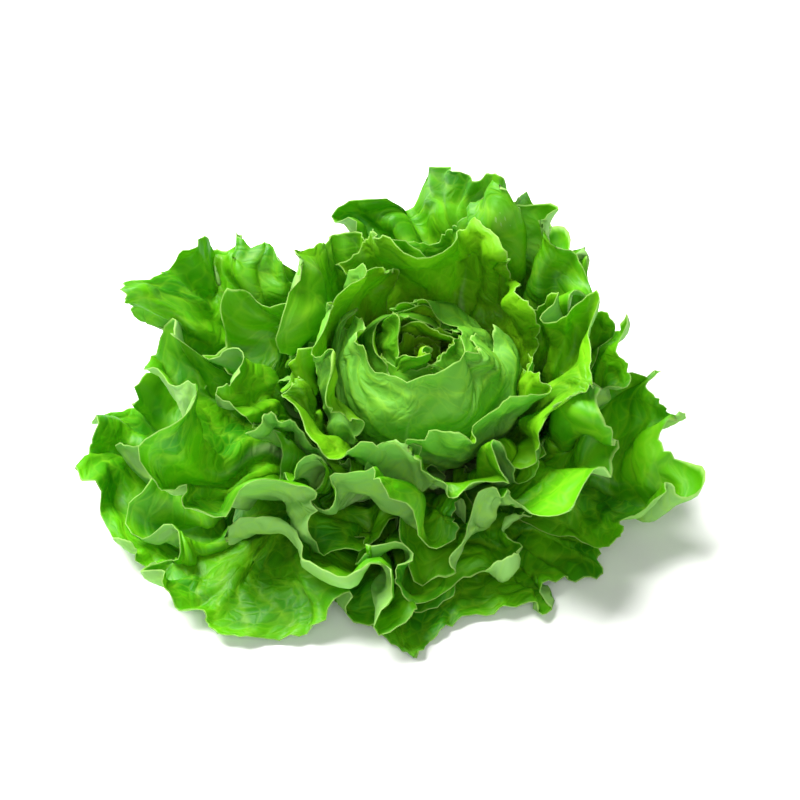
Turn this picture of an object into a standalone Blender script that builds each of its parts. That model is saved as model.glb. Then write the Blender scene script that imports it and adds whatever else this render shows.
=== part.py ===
"""A loose head of lettuce, cut at the stem and set down on its cut end and outer leaves.

Each leaf is a thin sheet, given by two parameters: p runs across the leaf from its left margin (-1)
to its right margin (+1), and q runs from the stalk (0) out to the margin (1). The leaves first lie
in plain bowls, one inside the other. Waves then fold the whole head at once, so that neighbouring
leaves fold together, and each margin gets frills of its own. Leaves that would still touch are
bent clear of each other before they get their thickness.
"""
import math

import bpy
import numpy as np
from mathutils.bvhtree import BVHTree

MM = 0.001

# Driving dimensions
LEAF_THICKNESS = 0.8 * MM
SAFE_THICKNESS = LEAF_THICKNESS + 0.1 * MM
LEAF_GAP = 1.5 * MM
LENGTH_OF_SHEETS = 61
ROWS_OF_SHEETS = 25
STEM_TOP_RADIUS = 7.6 * MM
STEM_FOOT_RADIUS = 13.6 * MM
STEM_HEIGHT = 26 * MM
HEAD_CENTRE = np.array([0.0, 0.0, 25 * MM])
HEAD_LEAN = math.radians(14)
LOWEST_LEAF = 0.9 * MM
FAN = math.radians(126)
TRIANGLES_OF_SMALLEST_LEAF = 70
TRIANGLES_OF_LARGEST_LEAF = 210
LARGE_LEAF = 8000
OUTER_GREEN = np.array([0.10, 0.34, 0.01])
HEART_GREEN = np.array([0.18, 0.46, 0.03])
STEM_PALE = np.array([0.62, 0.68, 0.38])

# The leaves from the outermost in: name, direction in degrees, length and half width in mm
LEAVES = [
    ("outer_left", 196, 148, 64),
    ("outer_front_right", -75, 102, 69),
    ("outer_back", 85, 118, 68),
    ("outer_front_left", -143, 142, 68),
    ("outer_right", -14, 120, 39),
    ("outer_back_left", 142, 111, 57),
    ("outer_front", -118, 101, 70),
    ("outer_back_right", 44, 114, 35),
    ("outer_front_mid", -82, 90, 56),
    ("mid_left", 155, 146, 45),
    ("mid_right", 7, 103, 56),
    ("mid_front_left", -158, 136, 68),
    ("mid_back", 76, 132, 61),
    ("mid_front_right", -48, 108, 56),
    ("mid_front", -116, 106, 58),
    ("mid_back_right", 54, 122, 60),
    ("mid_side_left", 184, 116, 56),
    ("mid_front_mid", -80, 98, 54),
    ("inner_back_left", 130, 103, 68),
    ("inner_right", -7, 106, 50),
    ("inner_front_left", -138, 98, 56),
    ("inner_back", 68, 116, 60),
    ("inner_front_right", -50, 92, 50),
    ("inner_left", 170, 108, 60),
    ("heart_front", -98, 108, 74),
    ("heart_back_right", 16, 92, 52),
    ("heart_back_left", 146, 82, 56),
    ("heart_right", -30, 80, 50),
    ("heart_left", 190, 94, 42),
    ("heart_back", 84, 77, 44),
    ("heart_inner_front", -85, 60, 34),
    ("heart_inner_left", 150, 57, 30),
    ("heart_bud", 20, 52, 24),
]

# How the bowls change from the heart (0) to the outermost leaf (1): the height in mm at which a
# leaf leaves the stem, and its slope in degrees at the stalk, half way and at the tip
RANK = [0.00, 0.08, 0.16, 0.24, 0.32, 0.42, 0.52, 0.64, 0.78, 0.90, 1.00]
STALK_HEIGHT = [24, 22.5, 21, 19.5, 18.5, 17, 15.5, 13.5, 11, 8.5, 6]
STALK_SLOPE = [55, 32, 18, 8, 7, 6, 6, 6, 6, 5, 4]
MIDDLE_SLOPE = [94, 98, 94, 76, 74, 68, 60, 46, 30, 16, 8]
TIP_SLOPE = [104, 132, 154, 172, 100, 82, 70, 60, 44, 28, 16]

# The last fifth of a leaf turns outwards again by so many degrees
LIP_TURNS_OUT = [20, 25, 30, 30, 20, 20, 20, 15, 0, 0, 0]

# Outside the heart the back leaves stand up by so many degrees and the front ones lie back
BACK_STANDS_UP = [0, 0, 0, 0, 2, 0, -3, -3, 2, 5, 5]


def smooth(x):
    """Goes from 0 to 1 with level ends."""
    x = np.clip(x, 0, 1)
    return x * x * (3 - 2 * x)


def unit(vectors):
    length = np.linalg.norm(vectors, axis=-1, keepdims=True)
    return vectors / np.maximum(length, 1e-12)


def bowl(rank, direction, length, samples=160):
    """The side view of a leaf: distance along it, radius and height."""
    t = np.linspace(0, 1, samples)
    first, middle, last = (math.radians(np.interp(rank, RANK, column))
                           for column in (STALK_SLOPE, MIDDLE_SLOPE, TIP_SLOPE))
    stand_up = math.radians(np.interp(rank, RANK, BACK_STANDS_UP))
    stand_up = stand_up * math.sin(math.radians(direction))
    middle, last = middle + stand_up, last + stand_up
    slope = first * (1 - t) ** 2 + 2 * middle * t * (1 - t) + last * t ** 2
    slope = slope - math.radians(np.interp(rank, RANK, LIP_TURNS_OUT)) * smooth((t - 0.8) / 0.2)
    step = length / (samples - 1)
    half_way = (slope[1:] + slope[:-1]) / 2
    radius = np.concatenate([[0], np.cumsum(np.cos(half_way) * step)])
    height = np.concatenate([[0], np.cumsum(np.sin(half_way) * step)])
    start_radius = (9 + 6 * rank) * MM
    start_height = np.interp(rank, RANK, STALK_HEIGHT) * MM
    return t * length, start_radius + radius, start_height + height


def flat_pattern(length, half_width, rank, seed, p, q):
    """The leaf spread out flat, a round fan with uneven lobes on a short stalk: across and along."""
    random = np.random.default_rng(seed)
    angle = p * FAN
    blunt = np.interp(rank, [0.2, 0.4], [0.5, 0.8])
    blunt_cos = np.sign(np.cos(angle)) * np.abs(np.cos(angle)) ** blunt
    blunt_sin = np.sign(np.sin(angle)) * np.abs(np.sin(angle)) ** (0.5 + blunt / 2)
    lobes = 1 + 0.035 * np.sin(5.3 * np.pi * p + random.uniform(0, 6))
    lobes = lobes + 0.025 * np.sin(9.1 * np.pi * p + random.uniform(0, 6))
    along = length * (0.57 + 0.43 * blunt_cos) * q * (1 + (lobes - 1) * q ** 2)
    stalk = (4 + 4 * rank) * MM
    across = half_width * blunt_sin * q ** 1.35 * lobes + stalk * p * (1 - q) ** 2
    return across, along


def lay_in_bowl(across, along, direction, length, rank):
    """Bends the flat leaf up in its bowl and wraps it round the head's axis."""
    distance, radii, heights = bowl(rank, direction, length)
    radius = np.interp(along, distance, radii)
    height = np.interp(along, distance, heights) + np.maximum(along - distance[-1], 0)
    wrap = np.interp(rank, [0.26, 0.28], [1.0, 1.08]) * np.maximum(radius, 10 * MM)
    angle = across / wrap
    outward = radius - wrap * (1 - np.cos(angle))
    sideways = wrap * np.sin(angle)
    c, s = math.cos(math.radians(direction)), math.sin(math.radians(direction))
    return np.stack([outward * c - sideways * s, outward * s + sideways * c, height], axis=-1)


def polar(points):
    """Distance from the head's centre, elevation and direction, and the unit vectors of both."""
    d = points - HEAD_CENTRE
    flat = np.hypot(d[:, 0], d[:, 1]) + 1e-9
    distance = np.hypot(flat, d[:, 2])
    elevation = np.arctan2(d[:, 2], flat)
    direction = np.arctan2(d[:, 1], d[:, 0])
    up = np.stack([-np.sin(elevation) * np.cos(direction),
                   -np.sin(elevation) * np.sin(direction), np.cos(elevation)], axis=1)
    round_about = np.stack([-np.sin(direction), np.cos(direction), 0 * direction], axis=1)
    return distance, flat, elevation, direction, up, round_about


class Ruffles:
    """Waves that run round the head and swing the outer part of the leaves up, down and sideways."""

    def __init__(self, seed, count, turns, climb, spread, start, rise, swing):
        random = np.random.default_rng(seed)
        self.turns = random.integers(turns[0], turns[1] + 1, count)
        self.climb = random.uniform(*climb, count) * random.choice([-1, 1], count)
        self.spread = random.uniform(*spread, count) * random.choice([-1, 1], count)
        self.phase = random.uniform(0, 2 * np.pi, count)
        self.late = random.uniform(0, 2 * np.pi, count)
        self.start, self.rise, self.swing = start, rise, swing
        self.share = 1 / math.sqrt(count / 2)

    def speed(self, points):
        distance, flat, elevation, direction, up, round_about = polar(points)
        margin = (65 + 72 * np.cos(elevation)) * MM
        grow = smooth((distance / margin - self.start) / (1 - self.start)) ** 1.5
        grow = grow * smooth(flat / (70 * MM)) * self.share
        wave = direction[:, None] * self.turns + elevation[:, None] * self.climb
        wave = wave + distance[:, None] * self.spread + self.phase
        rise = self.rise * grow * np.sin(wave).sum(axis=1)
        swing = self.swing * grow * np.sin(wave + self.late).sum(axis=1)
        return rise[:, None] * up + swing[:, None] * round_about


class Swirls:
    """Plane waves from every side that carry the leaves off in curls and keep their spacing."""

    def __init__(self, seed, count, wavelength, start, end, amount):
        random = np.random.default_rng(seed)
        heading = unit(random.normal(size=(count, 3)))
        wavelengths = random.uniform(*wavelength, count)
        self.wave = heading * (2 * np.pi / wavelengths)[:, None]
        self.push = unit(np.cross(heading, random.normal(size=(count, 3))))
        self.phase = random.uniform(0, 2 * np.pi, count)
        self.start, self.end = start, end
        self.amount = amount / math.sqrt(count / 2)

    def speed(self, points):
        distance = np.linalg.norm(points - HEAD_CENTRE, axis=1)
        grow = smooth((distance - self.start) / (self.end - self.start))
        return self.amount * grow[:, None] * (np.sin(points @ self.wave.T + self.phase) @ self.push)


FOLDS = [
    Ruffles(seed=5, count=16, turns=(6, 12), climb=(2, 6), spread=(15, 40), start=0.40,
            rise=9 * MM, swing=6 * MM),
    Swirls(seed=3, count=22, wavelength=(55 * MM, 95 * MM), start=55 * MM, end=125 * MM,
           amount=11 * MM),
]


def fold(points, steps=10):
    """Carries points along the waves' speeds for one unit of time, in short mid-point steps."""
    h = 1 / steps
    for _ in range(steps):
        half_way = points + 0.5 * h * sum(waves.speed(points) for waves in FOLDS)
        points = points + h * sum(waves.speed(half_way) for waves in FOLDS)
    return points


# The curls that stand out: direction and elevation in degrees, distance from the head's centre in
# mm, tilt of the axis, radius in mm, and angle in degrees, which is negative where a margin rolls in
PLACED_CURLS = [
    (64, 58, 88, 0.0, 19, -105),
    (114, 44, 122, 0.4, 20, -100),
    (-22, 30, 104, 0.2, 20, 95),
    (172, 42, 90, -0.2, 20, 85),
    (-96, 24, 92, 0.3, 17, -95),
    (-128, 22, 104, -0.3, 18, -95),
    (-62, 20, 96, -0.2, 18, -90),
]


def curl(direction, elevation, distance, tilt, radius, angle):
    outward = np.array([math.cos(elevation) * math.cos(direction),
                        math.cos(elevation) * math.sin(direction), math.sin(elevation)])
    tangent = np.array([-math.sin(direction), math.cos(direction), 0])
    return HEAD_CENTRE + distance * outward, unit(tangent + tilt * outward), radius, angle


def curls(seed=11, count=12):
    """Places along the margins where the leaves roll over: centre, axis, radius and angle."""
    for direction, elevation, distance, tilt, radius, angle in PLACED_CURLS:
        yield curl(math.radians(direction), math.radians(elevation), distance * MM, tilt,
                   radius * MM, math.radians(angle))
    random = np.random.default_rng(seed)
    for _ in range(count):
        direction = random.uniform(0, 2 * np.pi)
        elevation = math.radians(random.uniform(0, 68))
        distance = (65 + 72 * math.cos(elevation)) * MM * random.uniform(0.86, 1.02)
        angle = math.radians(random.uniform(50, 105)) * random.choice([-1, 1], p=[0.35, 0.65])
        yield curl(direction, elevation, distance, random.uniform(-0.7, 0.7),
                   random.uniform(13, 22) * MM, angle)


def turn(points, centre, axis, angle):
    """Turns each point by its own angle about an axis through the centre."""
    d = points - centre
    c, s = np.cos(angle)[:, None], np.sin(angle)[:, None]
    return centre + d * c + np.cross(axis, d) * s + axis * (d @ axis)[:, None] * (1 - c)


def roll_margins(points):
    for centre, axis, radius, angle in curls():
        distance = np.linalg.norm(points - centre, axis=1)
        points = turn(points, centre, axis, angle * np.exp(-(distance / radius) ** 2))
    return points


def lean(points):
    """The outer leaves lean forward, and the stem and heart stay nearly upright."""
    distance = np.linalg.norm(points - HEAD_CENTRE, axis=1)
    angle = HEAD_LEAN * smooth((distance - 20 * MM) / (90 * MM))
    return turn(points, HEAD_CENTRE, np.array([1.0, 0, 0]), angle)


def lay_on_table(points, soft=15 * MM):
    """What would sink through the table spreads out on it, in the order that it had."""
    room = soft - LOWEST_LEAF
    z = points[:, 2]
    flattened = LOWEST_LEAF + room * np.exp(np.minimum((z - soft) / room, 0))
    return np.column_stack([points[:, :2], np.where(z < soft, flattened, z)])


def frill(sheet, p, q, rank, half_width, seed):
    """Folds of the leaf's own that grow towards its margin and lean over, with finer ones on them."""
    random = np.random.default_rng(seed + 1000)
    offsets = random.uniform(0, 6, 5)
    across = unit(np.gradient(sheet, axis=0))
    normal = unit(np.cross(np.gradient(sheet, axis=1), np.gradient(sheet, axis=0)))
    depth = np.interp(rank, [0.0, 0.27, 0.34, 0.6, 1.0], [3.0, 4.5, 8.5, 13.0, 12.0]) * MM
    width = np.clip(half_width / (60 * MM), 0.3, 1.2)
    count = np.interp(rank, [0.27, 0.5], [4.2, 6.2]) * width
    wave = count * np.pi * (p + 0.10 * np.sin(2.3 * np.pi * p + offsets[0])) + offsets[1]
    large = depth * (0.80 + 0.40 * np.sin(1.7 * np.pi * p + offsets[2])) * q ** 2.6
    small = 0.30 * depth * (0.8 + 0.4 * np.sin(2.9 * np.pi * p + offsets[3])) * q ** 5
    rise = large * np.sin(wave) + small * np.sin(2.3 * wave + offsets[4])
    return sheet + normal * rise[..., None] - across * (0.50 * large * np.sin(2 * wave))[..., None]


def leaf_sheet(number, p, q):
    """The middle surface of a leaf at the parameters p and q, in its place in the head."""
    _, direction, length, half_width = LEAVES[number]
    rank = 1 - number / (len(LEAVES) - 1)
    across, along = flat_pattern(length * MM, half_width * MM, rank, 100 + number, p, q)
    sheet = lay_in_bowl(across, along, direction, length * MM, rank)
    points = lean(roll_margins(fold(sheet.reshape(-1, 3)))).reshape(sheet.shape)
    points = frill(points, p, q, rank, half_width * MM, 100 + number)
    return lay_on_table(points.reshape(-1, 3)).reshape(sheet.shape)


def sheet_mesh(name, sheet):
    """A grid of points as a mesh, with its faces towards the heart."""
    rows, columns = sheet.shape[:2]
    index = np.arange(rows * columns).reshape(rows, columns)
    faces = np.stack([index[:-1, :-1], index[:-1, 1:], index[1:, 1:], index[1:, :-1]], axis=-1)
    mesh = bpy.data.meshes.new(name)
    mesh.from_pydata(sheet.reshape(-1, 3).tolist(), [], faces.reshape(-1, 4).tolist())
    mesh.update()
    return mesh


def thin_out(mesh, triangles):
    """The same sheet in about so many triangles, with most of them where it bends."""
    helper = bpy.data.objects.new(mesh.name, mesh)
    bpy.context.scene.collection.objects.link(helper)
    triangulate = helper.modifiers.new("triangles", "TRIANGULATE")
    triangulate.quad_method = "BEAUTY"
    decimate = helper.modifiers.new("fewer", "DECIMATE")
    decimate.ratio = triangles / (2 * (LENGTH_OF_SHEETS - 1) * (ROWS_OF_SHEETS - 1))
    decimate.use_collapse_triangulate = True
    thinned = bpy.data.meshes.new_from_object(helper.evaluated_get(
        bpy.context.evaluated_depsgraph_get()))
    bpy.data.objects.remove(helper)
    return thinned


def corners(mesh):
    """A mesh as arrays: its points, and the three point numbers of each triangle."""
    points = np.empty(3 * len(mesh.vertices))
    mesh.vertices.foreach_get("co", points)
    triangles = np.array([face.vertices[:] for face in mesh.polygons])
    return points.reshape(-1, 3), triangles


def stem_radius(height):
    """The stem's radius at a height, from its wide foot to its narrow top."""
    return np.interp(height, [0, STEM_HEIGHT], [STEM_FOOT_RADIUS, STEM_TOP_RADIUS])


def keep_off_stem_and_table(points):
    """Moves points out of the stem, sideways, and up to the height of the lowest leaf."""
    radius = np.hypot(points[:, 0], points[:, 1])
    beside_stem = points[:, 2] < STEM_HEIGHT + 2 * MM
    least = np.where(beside_stem, stem_radius(points[:, 2]) + LOWEST_LEAF, 0)
    grow = np.maximum(least / np.maximum(radius, 1e-9), 1)
    return np.column_stack([points[:, :2] * grow[:, None], np.maximum(points[:, 2], LOWEST_LEAF)])


def rim_edges(triangles):
    """The edges that only one triangle has, each with the number of that triangle."""
    edges = np.concatenate([triangles[:, [0, 1]], triangles[:, [1, 2]], triangles[:, [2, 0]]])
    owner = np.tile(np.arange(len(triangles)), 3)
    _, first, count = np.unique(np.sort(edges, axis=1), axis=0, return_index=True,
                                return_counts=True)
    single = first[count == 1]
    return edges[single], owner[single]


class Sides:
    """The two sides of a sheet, each half the gap away from it, ready to be tested for crossings."""

    def __init__(self, points, triangles, gap):
        a, b, c = (points[triangles[:, k]] for k in range(3))
        facing = np.cross(b - a, c - a)
        corner_facing = np.zeros_like(points)
        for k in range(3):
            np.add.at(corner_facing, triangles[:, k], facing)
        self.corner_facing = unit(corner_facing)
        self.facing = unit(facing)
        self.triangles = triangles
        self.push = np.zeros_like(points)
        inner = points + self.corner_facing * gap / 2
        outer = points - self.corner_facing * gap / 2
        polygons = triangles.tolist()
        self.inner = BVHTree.FromPolygons(inner.tolist(), polygons)
        self.outer = BVHTree.FromPolygons(outer.tolist(), polygons)
        edges, owner = rim_edges(triangles)
        rim = np.column_stack([edges, edges[:, ::-1] + len(points)])
        closed = polygons + (triangles + len(points)).tolist() + rim.tolist()
        self.whole = BVHTree.FromPolygons(np.concatenate([inner, outer]).tolist(), closed)
        half = self.corner_facing * SAFE_THICKNESS / 2
        real = np.concatenate([points + half, points - half])
        self.solid = BVHTree.FromPolygons(real.tolist(), closed)
        self.owner = np.concatenate([np.tile(np.arange(len(triangles)), 2), owner])
        self.low = points.min(axis=0) - gap
        self.high = points.max(axis=0) + gap

    def far_from(self, other):
        return (self.low > other.high).any() or (other.low > self.high).any()

    def add_push(self, faces, vectors):
        for k in range(3):
            np.add.at(self.push, self.triangles[faces, k], vectors)


def push_two_apart(inside, outside):
    """The leaf nearer the heart goes inwards, unless it only touches the other one from below."""
    pairs = inside.whole.overlap(outside.whole)
    if not pairs:
        return 0
    first, second = np.array(pairs).T
    first, second = inside.owner[first], outside.owner[second]
    from_below = inside.inner.overlap(outside.outer) and not inside.outer.overlap(outside.inner)
    sense = -1 if from_below else 1
    apart = sense * unit(inside.facing[first] + outside.facing[second])
    inside.add_push(first, apart)
    outside.add_push(second, -apart)
    return len(pairs)


def open_own_folds(leaf):
    """Where one side of a leaf meets itself in a fold, both walls of the fold go back."""
    meetings = 0
    for side, sense in ((leaf.inner, -1), (leaf.outer, 1)):
        first, second = np.array(side.overlap(side), int).reshape(-1, 2).T
        corners_first, corners_second = leaf.triangles[first], leaf.triangles[second]
        joined = (corners_first[:, :, None] == corners_second[:, None, :]).any(axis=(1, 2))
        faces = first[~joined]
        leaf.add_push(faces, sense * leaf.facing[faces])
        meetings += len(faces)
    return meetings


def sharp_corners(leaf, least=0.35):
    """The corners of sharp creases.

    Those are where a triangle faces too far away from the mean of the triangles round the corner,
    and where the leaf's thickness crosses itself.
    """
    worst = np.ones(len(leaf.corner_facing))
    for k in range(3):
        corner = leaf.triangles[:, k]
        np.minimum.at(worst, corner, (leaf.corner_facing[corner] * leaf.facing).sum(axis=1))
    crossed = leaf.owner[np.array(leaf.solid.overlap(leaf.solid), int).reshape(-1)]
    worst[leaf.triangles[crossed]] = -1
    return worst < least


def neighbour_mean(values, triangles):
    """For each corner, the mean of the values at the corners that it shares triangles with."""
    total, weight = np.zeros_like(values), np.zeros(len(values))
    for k in range(3):
        for other in (1, 2):
            np.add.at(total, triangles[:, k], values[triangles[:, (k + other) % 3]])
            np.add.at(weight, triangles[:, k], 1)
    return total / np.maximum(weight, 1)[:, None]


def move_corners(points, leaf, step):
    """Moves pushed corners by one step and their neighbours with them, and flattens creases."""
    push = unit(leaf.push)
    met = np.linalg.norm(push, axis=1) > 0.5
    push[~met] = 0
    moved = points + step * np.where(met[:, None], push, neighbour_mean(push, leaf.triangles))
    sharp = sharp_corners(leaf).astype(float)[:, None]
    share = 0.3 * np.minimum(sharp + neighbour_mean(sharp, leaf.triangles), 1)
    flatter = moved + share * (neighbour_mean(moved, leaf.triangles) - moved)
    return keep_off_stem_and_table(flatter)


def bend_clear(sheets, gap=LEAF_GAP, step=0.25 * MM, rounds=160):
    """Bends the leaves, a little each round, until they are a gap away from each other."""
    for count in range(rounds):
        leaves = [Sides(points, triangles, gap) for points, triangles in sheets]
        meetings = sum(open_own_folds(leaf) + sharp_corners(leaf).sum() for leaf in leaves)
        for number, inside in enumerate(leaves):
            for outside in leaves[:number]:
                if not inside.far_from(outside):
                    meetings += push_two_apart(inside, outside)
        if meetings == 0:
            break
        sheets = [(move_corners(points, leaf, step), triangles)
                  for (points, triangles), leaf in zip(sheets, leaves)]
        if count % 20 == 0:
            print("round", count, "meetings", meetings)
    print("bent clear in", count + 1, "rounds,", meetings, "meetings left")
    return sheets


def plain_material(name, colour):
    """A matt green or pale surface, neither metal nor glossy."""
    material = bpy.data.materials.new(name)
    material.use_nodes = True
    shader = material.node_tree.nodes["Principled BSDF"]
    shader.inputs["Base Color"].default_value = (*colour, 1)
    shader.inputs["Roughness"].default_value = 0.45
    shader.inputs["Metallic"].default_value = 0
    return material


def add_object(name, mesh, material, collection):
    mesh.name = name
    mesh.materials.clear()
    mesh.materials.append(material)
    piece = bpy.data.objects.new(name, mesh)
    collection.objects.link(piece)
    return piece


def make_leaves(collection):
    p, q = np.meshgrid(np.linspace(-1, 1, LENGTH_OF_SHEETS),
                       np.linspace(0, 1, ROWS_OF_SHEETS) ** 0.8, indexing="ij")
    leaves = []
    for number, (name, _, length, half_width) in enumerate(LEAVES):
        share = min(1, length * half_width / LARGE_LEAF)
        triangles = TRIANGLES_OF_SMALLEST_LEAF
        triangles += int(share * (TRIANGLES_OF_LARGEST_LEAF - TRIANGLES_OF_SMALLEST_LEAF))
        leaves.append(corners(thin_out(sheet_mesh(name, leaf_sheet(number, p, q)), triangles)))
    leaves = bend_clear([(keep_off_stem_and_table(points), faces) for points, faces in leaves])
    for number, (points, triangles) in enumerate(leaves):
        name = LEAVES[number][0]
        mesh = bpy.data.meshes.new(name)
        mesh.from_pydata(points.tolist(), [], triangles.tolist())
        mesh.update()
        colour = OUTER_GREEN + (HEART_GREEN - OUTER_GREEN) * number / (len(LEAVES) - 1)
        leaf = add_object(name, mesh, plain_material(name, colour), collection)
        solidify = leaf.modifiers.new("thickness", "SOLIDIFY")
        solidify.thickness = LEAF_THICKNESS
        solidify.offset = 0


def make_stem(collection):
    """The short stem, turned from its rounded top down to its flat cut foot."""
    profile = [(0, STEM_HEIGHT), (0.7 * STEM_TOP_RADIUS, STEM_HEIGHT - 0.6 * MM),
               (STEM_TOP_RADIUS, STEM_HEIGHT - 3 * MM), (STEM_FOOT_RADIUS, 1.2 * MM),
               (STEM_FOOT_RADIUS - 1 * MM, 0), (0, 0)]
    mesh = bpy.data.meshes.new("stem")
    edges = [(k, k + 1) for k in range(len(profile) - 1)]
    mesh.from_pydata([(r, 0, z) for r, z in profile], edges, [])
    stem = add_object("stem", mesh, plain_material("stem", STEM_PALE), collection)
    screw = stem.modifiers.new("turn", "SCREW")
    screw.steps = screw.render_steps = 32
    screw.use_merge_vertices = True
    screw.merge_threshold = 0.00001


def main():
    for old in list(bpy.data.objects):
        bpy.data.objects.remove(old)
    collection = bpy.data.collections.new("lettuce")
    bpy.context.scene.collection.children.link(collection)
    make_leaves(collection)
    make_stem(collection)


main()
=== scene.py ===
# %% [markdown]
# A loose head of green lettuce
#
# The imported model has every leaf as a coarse, plain blade. This script grows the same leaves again,
# from the same formulas but on a fine grid, and adds what a close look shows: ribs that stand out on
# the underside, blisters between the veins, small folds and teeth along the margins, and the colour
# of a fresh leaf that lets light through. The plain blades stay as the frame that says where each
# leaf lies.

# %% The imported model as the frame
import math

import bpy
import numpy as np
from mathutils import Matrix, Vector
from mathutils.bvhtree import BVHTree


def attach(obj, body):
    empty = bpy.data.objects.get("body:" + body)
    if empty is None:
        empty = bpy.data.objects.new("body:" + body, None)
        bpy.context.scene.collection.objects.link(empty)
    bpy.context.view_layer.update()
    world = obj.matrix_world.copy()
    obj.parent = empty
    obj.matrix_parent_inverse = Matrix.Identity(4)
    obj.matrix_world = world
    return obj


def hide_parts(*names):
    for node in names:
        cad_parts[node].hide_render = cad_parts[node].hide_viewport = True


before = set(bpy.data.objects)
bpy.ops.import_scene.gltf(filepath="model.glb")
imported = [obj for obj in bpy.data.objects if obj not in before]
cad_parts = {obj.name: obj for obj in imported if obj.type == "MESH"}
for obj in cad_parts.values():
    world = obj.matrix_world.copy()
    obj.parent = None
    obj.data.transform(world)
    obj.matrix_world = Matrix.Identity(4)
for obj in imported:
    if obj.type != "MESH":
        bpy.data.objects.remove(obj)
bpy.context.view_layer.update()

# %% [markdown]
# The leaves of the head
#
# A lettuce grows its leaves in a spiral round a short stem, the oldest lowest and outermost. One row
# of the table is one leaf, from the outermost in to the bud. Its place in that order, the rank, says
# how it stands: 1 is the oldest leaf, spread on the table, and 0 is the bud, closed over the heart.

# %% Driving dimensions and the table of leaves
MM = 0.001

LEAF_THICKNESS = 0.8 * MM
LEAF_GAP = 1.5 * MM
SAFE_THICKNESS = LEAF_THICKNESS + 0.1 * MM
LOWEST_LEAF = 0.9 * MM
STEM_TOP_RADIUS = 7.6 * MM
STEM_FOOT_RADIUS = 13.6 * MM
STEM_HEIGHT = 26 * MM
HEAD_CENTRE = np.array([0.0, 0.0, 25 * MM])
HEAD_LEAN = math.radians(14)
FAN = math.radians(126)

# Name, direction in degrees, length and half width in mm
LEAVES = [
    ("outer_left", 196, 148, 64),
    ("outer_front_right", -75, 102, 69),
    ("outer_back", 85, 118, 68),
    ("outer_front_left", -143, 142, 68),
    ("outer_right", -14, 120, 39),
    ("outer_back_left", 142, 111, 57),
    ("outer_front", -118, 101, 70),
    ("outer_back_right", 44, 114, 35),
    ("outer_front_mid", -82, 90, 56),
    ("mid_left", 155, 146, 45),
    ("mid_right", 7, 103, 56),
    ("mid_front_left", -158, 136, 68),
    ("mid_back", 76, 132, 61),
    ("mid_front_right", -48, 108, 56),
    ("mid_front", -116, 106, 58),
    ("mid_back_right", 54, 122, 60),
    ("mid_side_left", 184, 116, 56),
    ("mid_front_mid", -80, 98, 54),
    ("inner_back_left", 130, 103, 68),
    ("inner_right", -7, 106, 50),
    ("inner_front_left", -138, 98, 56),
    ("inner_back", 68, 116, 60),
    ("inner_front_right", -50, 92, 50),
    ("inner_left", 170, 108, 60),
    ("heart_front", -98, 108, 74),
    ("heart_back_right", 16, 92, 52),
    ("heart_back_left", 146, 82, 56),
    ("heart_right", -30, 80, 50),
    ("heart_left", 190, 94, 42),
    ("heart_back", 84, 77, 44),
    ("heart_inner_front", -85, 60, 34),
    ("heart_inner_left", 150, 57, 30),
    ("heart_bud", 20, 52, 24),
]
print("leaves in the table:", len(LEAVES))


# %% Small helpers
def smooth(x):
    """Goes from 0 to 1 with level ends."""
    x = np.clip(x, 0, 1)
    return x * x * (3 - 2 * x)


def unit(vectors):
    """Vectors of the same direction with a length of 1."""
    length = np.linalg.norm(vectors, axis=-1, keepdims=True)
    return vectors / np.maximum(length, 1e-12)


def rank_of(number):
    """Goes down in even steps from 1 for the oldest leaf to 0 for the bud."""
    return 1 - number / (len(LEAVES) - 1)


# %% [markdown]
# The flat pattern of a leaf
#
# Spread out flat, a lettuce leaf is a round fan on a short pale stalk. Two parameters name each of
# its points: p runs round the fan from the left margin (-1) to the right one (+1), and q runs from
# the stalk (0) out to the margin (1). The pattern gives the distances across and along the leaf.
# Heart leaves have blunter fans, because they have grown pressed against each other.

# %% The flat pattern
def flat_pattern(number, p, q):
    """Across is the sine and along the cosine of the fan's angle, with uneven lobes at the margin."""
    _, _, length, half_width = LEAVES[number]
    rank = rank_of(number)
    random = np.random.default_rng(100 + number)
    angle = p * FAN
    blunt = np.interp(rank, [0.2, 0.4], [0.5, 0.8])
    blunt_cos = np.sign(np.cos(angle)) * np.abs(np.cos(angle)) ** blunt
    blunt_sin = np.sign(np.sin(angle)) * np.abs(np.sin(angle)) ** (0.5 + blunt / 2)
    lobes = 1 + 0.035 * np.sin(5.3 * np.pi * p + random.uniform(0, 6))
    lobes = lobes + 0.025 * np.sin(9.1 * np.pi * p + random.uniform(0, 6))
    along = length * MM * (0.57 + 0.43 * blunt_cos) * q * (1 + (lobes - 1) * q ** 2)
    stalk = (4 + 4 * rank) * MM
    across = half_width * MM * blunt_sin * q ** 1.35 * lobes + stalk * p * (1 - q) ** 2
    return across, along


# %% [markdown]
# From flat pattern to bowl
#
# In the head each leaf is part of a bowl, and the bowls stand one inside the other. A bowl is given
# by its side view: the height at which it leaves the stem and its slope at the stalk, half way and at
# the tip. The columns below say how these change from the bud to the oldest leaf, so that no leaf
# needs values of its own, and neighbours in the spiral are nearly parallel.

# %% Bowls
RANK = [0.00, 0.08, 0.16, 0.24, 0.32, 0.42, 0.52, 0.64, 0.78, 0.90, 1.00]
STALK_HEIGHT = [24, 22.5, 21, 19.5, 18.5, 17, 15.5, 13.5, 11, 8.5, 6]
STALK_SLOPE = [55, 32, 18, 8, 7, 6, 6, 6, 6, 5, 4]
MIDDLE_SLOPE = [94, 98, 94, 76, 74, 68, 60, 46, 30, 16, 8]
TIP_SLOPE = [104, 132, 154, 172, 100, 82, 70, 60, 44, 28, 16]
LIP_TURNS_OUT = [20, 25, 30, 30, 20, 20, 20, 15, 0, 0, 0]
BACK_STANDS_UP = [0, 0, 0, 0, 2, 0, -3, -3, 2, 5, 5]


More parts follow.
